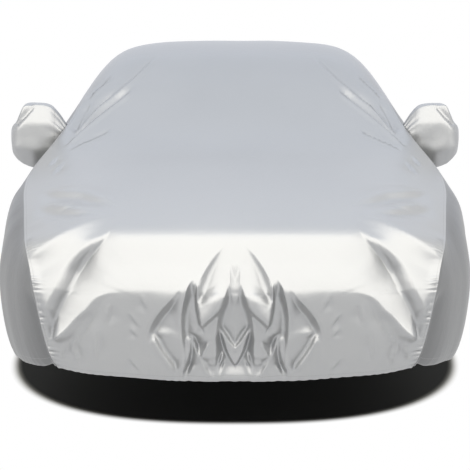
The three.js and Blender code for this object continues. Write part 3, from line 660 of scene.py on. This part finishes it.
def side(u, w):
    # The section, moved near each end so that the panel meets the front and rear seams.
    points = sideSection(u, w)
    for end, levels in ((coverShape["nose"], "frontStations"), (coverShape["tail"], "rearStations")):
        share = np.clip(1 - np.abs(u - knots[end]) / coverShape["blend"], 0, None) ** 2
        meets = np.interp(w, coverShape["down"], knots[coverShape[levels]])
        there = bare(meets, np.ones_like(meets))
        points = points + share[..., None] * (there - sideSection(np.full_like(w, knots[end]), w))
    return points


def cornerFold(x, y, z):
    # A ridge along the line through the crest's points, steeper on its inner flank.
    crest = sideCloth["crest"]
    across = (x - np.interp(z, crest["z"], crest["x"])) / crest["wide"]
    return (crest["high"] * np.where(across > 0, bell(across), bell(crest["steep"] * across))
            * smooth((crest["z"][-1] - z) / crest["top"]) * smooth((crest["y"] - y) / crest["over"]))


def sidePoints(seed):
    # The side's shape, moved along its normal by pleats, folds and soft streaks.
    rows = spread([(knots[a], knots[b], n) for a, b, n in sideCloth["rows"]])
    u, w = np.meshgrid(rows, spread(sideCloth["levels"]), indexing="ij")
    points = side(u, w)
    x, y, z = np.moveaxis(points, -1, 0)
    fromSeam = w * sideCloth["drop"]
    fromHem = (w - hemLevel) * sideCloth["drop"]
    height = gathers(y, fromHem, *pleats["sideHem"], seed)
    front = sideCloth["frontPleats"]
    height *= front["left"] + (1 - front["left"]) * smooth((y - front["from"]) / front["over"])
    height += cornerFold(x, y, z)
    for fold in sideFolds:
        height += foldRelief("side", fold, y, z)
    # noise that changes much faster along the panel than down it
    streak, patch = sideCloth["streak"], sideCloth["patch"]
    wave = noise2(y / streak["pitch"] + streak["lean"] * w, w * streak["down"], seed + 2)
    strength = patch["mean"] + patch["more"] * noise2(y / patch["pitch"], w * patch["down"], seed + 4)
    height += streak["high"] * wave * strength * smooth(w / streak["ramp"])
    fromEnds = np.minimum(u - knots[coverShape["nose"]], knots[coverShape["tail"]] - u)
    seam, tuck, ends = sideCloth["ramps"]
    level = smooth(w / seam) * smooth((1 - w) / tuck) * smooth(fromEnds / ends)
    normal = -normalOf(side, u, w, sideCloth["normalStep"])
    hem = -fromHem - stitches["hem"]
    sewn = nearestStitch(fromSeam - stitches["seam"], u, (hem, hem), y)
    return points + normal * (height * level)[..., None], sewn


def addObject(name, data):
    made = bpy.data.objects.new(name, data)
    bpy.context.scene.collection.objects.link(made)
    return made


def clothObject(name, points, flip, sewn):
    # A mesh on a grid of points, with the stitches' two measures as attributes.
    rows, columns = points.shape[:2]
    index = np.arange(rows * columns).reshape(rows, columns)
    quads = np.stack([index[:-1, :-1], index[:-1, 1:], index[1:, 1:], index[1:, :-1]], -1).reshape(-1, 4)
    mesh = bpy.data.meshes.new(name)
    mesh.from_pydata(points.reshape(-1, 3), [], quads[:, ::-1] if flip else quads)
    mesh.polygons.foreach_set("use_smooth", np.ones(len(quads), bool))
    for key, values in zip(("stitchGap", "stitchRun"), sewn):
        mesh.attributes.new(key, "FLOAT", "POINT").data.foreach_set("value", values.ravel())
    mesh.update()
    return addObject(name, mesh)


class Wire:
    # A socket that can be used in sums: wire * 2 + 1 adds its Math nodes.
    def __init__(self, tree, socket):
        self.tree = tree
        self.socket = socket

    def math(self, operation, left, right):
        return self.tree.node("ShaderNodeMath", {"operation": operation}, {0: left, 1: right})

    def __add__(self, other):
        return self.math("ADD", self, other)

    def __sub__(self, other):
        return self.math("SUBTRACT", self, other)

    def __rsub__(self, other):
        return self.math("SUBTRACT", other, self)

    def __mul__(self, other):
        return self.math("MULTIPLY", self, other)

    __radd__ = __add__
    __rmul__ = __mul__


class Nodes:
    # The node tree of a material or a world, emptied.
    def __init__(self, owner):
        owner.use_nodes = True
        self.tree = owner.node_tree
        self.tree.nodes.clear()

    def node(self, kind, settings, inputs, output=0):
        made = self.tree.nodes.new(kind)
        for key, value in settings.items():
            setattr(made, key, value)
        for key, value in inputs.items():
            if isinstance(value, Wire):
                self.tree.links.new(value.socket, made.inputs[key])
            else:
                made.inputs[key].default_value = value
        return Wire(self, made.outputs[output]) if made.outputs else None


def blend(nodes, share, first, second):
    # From the first colour where the share is 0 to the second where it is 1.
    return nodes.node("ShaderNodeMix", {"data_type": "RGBA"}, {0: share, 6: first, 7: second}, 2)


def alongAxis(nodes, place, axis):
    # How far a place or a direction lies along an axis.
    return nodes.node("ShaderNodeVectorMath", {"operation": "DOT_PRODUCT"}, {0: place, 1: axis}, 1)


def softStep(nodes, value, start, end):
    # 0 below start, 1 above end, and smooth between.
    return nodes.node("ShaderNodeMapRange", {"interpolation_type": "SMOOTHSTEP"},
                      {"Value": value, "From Min": start, "From Max": end})


clothFinish = {
    "dull": (0.404, 0.413, 0.436, 1), "clean": (0.446, 0.455, 0.479, 1),
    "sidePaintedShade": 0.47,      # painted shade: the side panels' copy of the cloth is darker by this, for the dimmer light on the sides
    "metal": 0.68, "roughness": 0.33, "roughnessSpan": 0.08,
    "broad": {"Scale": 2.2, "Detail": 3.0},
    "crinkle": {"Scale": 26.0, "Detail": 5.0, "Roughness": 0.55, "Distortion": 0.6},
    "weave": {"Scale": 900.0, "Detail": 1.0},
    "bump": {"Strength": 0.25, "Distance": 0.004}, "weaveHigh": 0.06, "threadHigh": 0.5,
}


def silverCloth(name, shade):
    # Coated cloth: two near greys in broad patches, with crinkles, a fine weave and the stitches
    # as dashes of raised darker thread along the sewn rows.
    material = bpy.data.materials.new(name)
    nodes = Nodes(material)
    place = nodes.node("ShaderNodeTexCoord", {}, {}, "Object")
    broad, crinkle, weave = (nodes.node("ShaderNodeTexNoise", {}, {"Vector": place, **clothFinish[kind]})
                             for kind in ("broad", "crinkle", "weave"))
    # both greys are scaled by shade: below 1 this paints shade into the cloth's colour
    dull, clean = ([shade * part for part in clothFinish[kind][:3]] + [1] for kind in ("dull", "clean"))
    gap, run = (nodes.node("ShaderNodeAttribute", {"attribute_name": key}, {}, 2)
                for key in ("stitchGap", "stitchRun"))
    dash = nodes.node("ShaderNodeMath", {"operation": "FRACT"}, {0: run * (1 / (stitches["pitch"] * mm))})
    thread = (gap.math("LESS_THAN", gap.math("ABSOLUTE", gap, 0), stitches["thick"] / 2 * mm)
              * gap.math("LESS_THAN", dash, stitches["share"]))
    colour = blend(nodes, thread, blend(nodes, broad, dull, clean), stitches["thread"])
    relief = crinkle + weave * clothFinish["weaveHigh"] + thread * clothFinish["threadHigh"]
    shader = nodes.node("ShaderNodeBsdfPrincipled", {}, {
        "Base Color": colour, "Metallic": clothFinish["metal"],
        "Roughness": broad * clothFinish["roughnessSpan"] + clothFinish["roughness"],
        "Normal": nodes.node("ShaderNodeBump", {}, {**clothFinish["bump"], "Height": relief}),
    })
    nodes.node("ShaderNodeOutputMaterial", {}, {"Surface": shader})
    return material


print("cloth finish")
silver = silverCloth("silverCloth", 1)
# the side panels get a darker copy of the same cloth: painted shade for the dimmer light on the sides
sideShadedSilver = silverCloth("sideShadedSilverCloth", clothFinish["sidePaintedShade"])

print("top panel")
topGrid, topSewn = topPoints()
top = clothObject("topCloth", toFrame(topGrid), False, topSewn)
top.data.materials.append(silver)
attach(top, "root")
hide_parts("top_panel")

print("side panels")
for name, node, mirror, seed in (
    ("sideClothRight", "side_panel_right", 1, 31),
    ("sideClothLeft", "side_panel_left", -1, 47),
):
    sideGrid, sideSewn = sidePoints(seed)
    panel = clothObject(name, toFrame(sideGrid * np.array([mirror, 1, 1])), mirror > 0, sideSewn)
    panel.data.materials.append(sideShadedSilver)
    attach(panel, "root")
    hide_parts(node)

# Mirror pocket: x of each ring, y of its middle, z of its bottom and top, half depth.
mirrorPocket = {
    "rings": [
        [700, 1622, 972, 1040, 56],
        [742, 1620, 958, 1094, 68],
        [778, 1617, 938, 1150, 84],
        [812, 1613, 924, 1184, 98],
        [868, 1609, 911, 1193, 107],
        [922, 1606, 926, 1186, 106],
        [944, 1604, 942, 1148, 98],
        [962, 1603, 960, 1112, 84],
        [976, 1602, 982, 1092, 60],
        [983, 1602, 1020, 1076, 26],
        [986, 1602, 1042, 1050, 4],
    ],
    # the corners of a ring's outline: share of the half depth from the front, and of the height
    "outline": [
        [-0.66, 0.0], [-1.0, 0.28], [-0.9, 0.7], [-0.52, 0.98], [0.1, 1.0],
        [0.6, 0.95], [0.93, 0.76], [1.0, 0.45], [0.85, 0.12], [0.4, 0.0],
    ],
    "along": 80, "around": 144,     # points on the grid
    "rounding": 3,                  # passes that round the outline's corners
    # soft lumps, with their pitch along the pocket and their number and twist round it
    "lump": {"high": 3.0, "pitch": 55, "round": 2, "twist": 0.4},
    # pleats next to the panel, which fade from an x on
    "pleat": {"high": 6.0, "foot": 0.5, "count": 19, "shift": 1.5, "from": 755, "reach": 34},
    # a fold at the top outer corner: x and z of its ends, and the share of the half depth over
    # which it fades towards the rear
    "tuck": {"ends": [(893, 1176), (948, 1112)], "deep": 17, "wide": 13, "front": 0.5},
    "poleGap": 2, "poleRamp": 25, "openRamp": 30,   # where all relief starts, at pole and opening
    "sewnAt": 790, "stitchRun": 350,        # x of the stitches, and their length per unit of outline
    "flat": (0.62, 0.4),
}


def pocketPoints(seed):
    # The outline's straight sides, with rounded corners, scaled to each ring of a curve through
    # the rings, with soft lumps, a fold, and pleats round it that fade away from the panel.
    rings = np.array(mirrorPocket["rings"], float)
    way = lengths(rings[:, [0, 3]] * np.array([1, 0.5]))
    s = np.linspace(0, way[-1], mirrorPocket["along"])
    x, y, low, high, deep = spline(way, rings, s).T[:, :, None]
    outline = np.array(mirrorPocket["outline"] + mirrorPocket["outline"][:1])
    sides = lengths(outline)
    turn = np.linspace(0, sides[-1], mirrorPocket["around"] + 1)
    ring = np.stack([np.interp(turn, sides, column) for column in outline.T])[:, :-1]
    for _ in range(mirrorPocket["rounding"]):
        ring = (np.roll(ring, 1, axis=1) + 2 * ring + np.roll(ring, -1, axis=1)) / 4
    across, up = np.concatenate([ring, ring[:, :1]], axis=1)
    points = np.stack(np.broadcast_arrays(x, y + deep * across, low + (high - low) * up), -1)
    middle = np.stack(np.broadcast_arrays(x, y, (low + high) / 2 + 0 * across), -1)
    out = points - middle
    reach = np.maximum(np.linalg.norm(out, axis=-1), 1e-6)
    angle = 2 * np.pi * turn / sides[-1]
    lump, pleat, tuck = mirrorPocket["lump"], mirrorPocket["pleat"], mirrorPocket["tuck"]
    far = s[:, None] / lump["pitch"]
    height = lump["high"] * noise2(far + lump["round"] * np.cos(angle),
                                   lump["round"] * np.sin(angle) + lump["twist"] * far, seed)
    phase = pleat["count"] * angle / 2 + pleat["shift"] * np.sin(angle + seed)
    ridge = np.abs(np.sin(phase)) - pleat["foot"]
    height = height + pleat["high"] * ridge * np.exp(-np.maximum(x - pleat["from"], 0) / pleat["reach"])
    # the fold: a groove along the line between its ends, on the front alone
    start, end = np.array(tuck["ends"], float)
    _, gap = nearRun(points[..., 0] - start[0], points[..., 2] - start[1], end - start)
    height -= tuck["deep"] * bell(gap / tuck["wide"]) * smooth(-across / tuck["front"])
    height = (height * smooth((reach - mirrorPocket["poleGap"]) / mirrorPocket["poleRamp"])
              * smooth(s[:, None] / mirrorPocket["openRamp"]))
    # one row of stitches round the pocket, next to the panel
    sewn = np.broadcast_arrays((x - mirrorPocket["sewnAt"]) * mm, turn * mirrorPocket["stitchRun"] * mm)
    return points + out / reach[..., None] * height[..., None], sewn


print("mirror pockets")
for name, node, panel, mirror, seed in (
    ("pocketClothRight", "mirror_pocket_right", "side_panel_right", 1, 5),
    ("pocketClothLeft", "mirror_pocket_left", "side_panel_left", -1, 12),
):
    bagGrid, bagSewn = pocketPoints(seed)
    bag = clothObject(name, toFrame(bagGrid * np.array([mirror, 1, 1])), mirror < 0, bagSewn)
    bag.data.materials.append(silver)
    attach(bag, "root")
    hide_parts(node)

stage = {
    # the camera's place in metres from the nose and the ground, and its tilt down in radians
    "camera": (0, -5.680, 1.536), "sensor": 36, "lens": 126.57, "pitch": 0.12702,
    "floor": 14,    # from the middle to each edge
    "pale": (0.9, 0.87, 0.81, 1), "floorFinish": {"Roughness": 0.9, "Specular IOR Level": 0.2},
    # painted shadow on the floor under the car, nearly black: y of its middle, half length and half width,
    # how square it is, the shares of its half size between which it ends, and those where white starts
    "paintedShadow": (0.008, 0.008, 0.007, 1), "shade": (-0.4, 1.66, 1.02), "squareness": 2.5,
    "shadeEnds": (0.97, 1.03), "whiteFrom": (0.985, 1.03),
    # a dim sky with a brighter wall in front, towards -Y, and the cosines between which it starts
    "sky": (0.45, 0.68, 1.0, 1), "skyLevel": 0.15,
    "wall": (1, 0.95, 0.72, 1), "wallLevel": 0.76, "wallEdge": (0.45, 0.9),
    "white": {"Color": (1, 1, 1, 1), "Strength": 1.0},
    "lamps": [
        {"name": "noseSoftbox", "place": (0, -4.2, 2.0), "target": (0, -3.92, 0.02), "size": (24, 6.0),
         "power": 740, "colour": (1, 0.955, 0.84)},
        {"name": "roofSoftbox", "place": (0, 1.7, 3.0), "target": (0, 1.6, 0), "size": (6, 6.4),
         "power": 28, "colour": (0.42, 0.64, 1)},
        {"name": "rearSoftbox", "place": (0, 12, 3.2), "target": (0, 0, 0), "size": (26, 8),
         "power": 52, "colour": (0.05, 0.3, 1)},
    ],
}


def addCamera():
    camera = bpy.data.cameras.new("camera")
    camera.sensor_width = stage["sensor"]
    camera.lens = stage["lens"]
    seat = addObject("camera", camera)
    x, y, z = stage["camera"]
    seat.location = (x, y - coverShape["roofY"] * mm, z - roofZ * mm)
    seat.rotation_euler = (math.pi / 2 - stage["pitch"], 0, 0)
    bpy.context.scene.camera = seat


def addLamp(name, place, target, size, power, colour):
    # A soft rectangular lamp at a place, facing a target.
    light = bpy.data.lights.new(name, "AREA")
    light.shape = "RECTANGLE"
    light.size, light.size_y = size
    light.energy = power
    light.color = colour
    lamp = addObject(name, light)
    lamp.location = place
    lamp.rotation_euler = (Vector(target) - Vector(place)).to_track_quat("-Z", "Y").to_euler()


def seenRays(nodes):
    # 1 for rays from the camera, in reflections and through glass, which see a white background.
    path = nodes.tree.nodes.new("ShaderNodeLightPath")
    camera, glossy, through = (Wire(nodes, path.outputs[name])
                               for name in ("Is Camera Ray", "Is Glossy Ray", "Is Transmission Ray"))
    return nodes.node("ShaderNodeMath", {"operation": "MAXIMUM"}, {0: camera + glossy, 1: through})


def shadeReached(nodes, place):
    # |x / halfWidth|^power + |(y - middle) / halfLength|^power: 1 on the rounded edge of the painted
    # shadow under the car, for floor points as shares of its half size.
    middle, halfLength, halfWidth = stage["shade"]

    def share(axis, start, half):
        away = alongAxis(nodes, place, axis) - start
        return away.math("POWER", away.math("ABSOLUTE", away, 0) * (1 / half), stage["squareness"])

    return share((1, 0, 0), 0, halfWidth) + share((0, 1, 0), middle, halfLength)


def addFloor():
    reach = stage["floor"]
    corners = [(x * reach, y * reach, -roofZ * mm) for x, y in ((-1, -1), (1, -1), (1, 1), (-1, 1))]
    mesh = bpy.data.meshes.new("floor")
    mesh.from_pydata(corners, [], [[0, 1, 2, 3]])
    floor = addObject("floor", mesh)
    material = bpy.data.materials.new("paleFloorWithPaintedShadow")
    nodes = Nodes(material)
    place = nodes.node("ShaderNodeTexCoord", {}, {}, "Object")
    reached = shadeReached(nodes, place)
    lit, far = (softStep(nodes, reached, *(share ** stage["squareness"] for share in ends))
                for ends in (stage["shadeEnds"], stage["whiteFrom"]))
    # the floor's colour: a painted shadow, nearly black, under the car, and pale outside it
    paintedShadowTone = blend(nodes, lit, stage["paintedShadow"], stage["pale"])
    plain = nodes.node("ShaderNodeBsdfPrincipled", {}, {"Base Color": paintedShadowTone, **stage["floorFinish"]})
    white = nodes.node("ShaderNodeEmission", {}, stage["white"])
    mixed = nodes.node("ShaderNodeMixShader", {}, {0: far * seenRays(nodes), 1: plain, 2: white})
    nodes.node("ShaderNodeOutputMaterial", {}, {"Surface": mixed})
    mesh.materials.append(material)


def addWorld():
    world = bpy.data.worlds.new("studio")
    bpy.context.scene.world = world
    nodes = Nodes(world)
    facing = nodes.node("ShaderNodeTexCoord", {}, {}, "Generated")
    wall = softStep(nodes, alongAxis(nodes, facing, (0, -1, 0)), *stage["wallEdge"])
    plain = nodes.node("ShaderNodeBackground", {}, {
        "Color": blend(nodes, wall, stage["sky"], stage["wall"]),
        "Strength": wall * stage["wallLevel"] + stage["skyLevel"],
    })
    white = nodes.node("ShaderNodeBackground", {}, stage["white"])
    mixed = nodes.node("ShaderNodeMixShader", {}, {0: seenRays(nodes), 1: plain, 2: white})
    nodes.node("ShaderNodeOutputWorld", {}, {"Surface": mixed})


print("camera, floor and lamps")
addCamera()
addFloor()
addWorld()
for lamp in stage["lamps"]:
    addLamp(**lamp)

bpy.context.scene.view_settings.view_transform = "Standard"
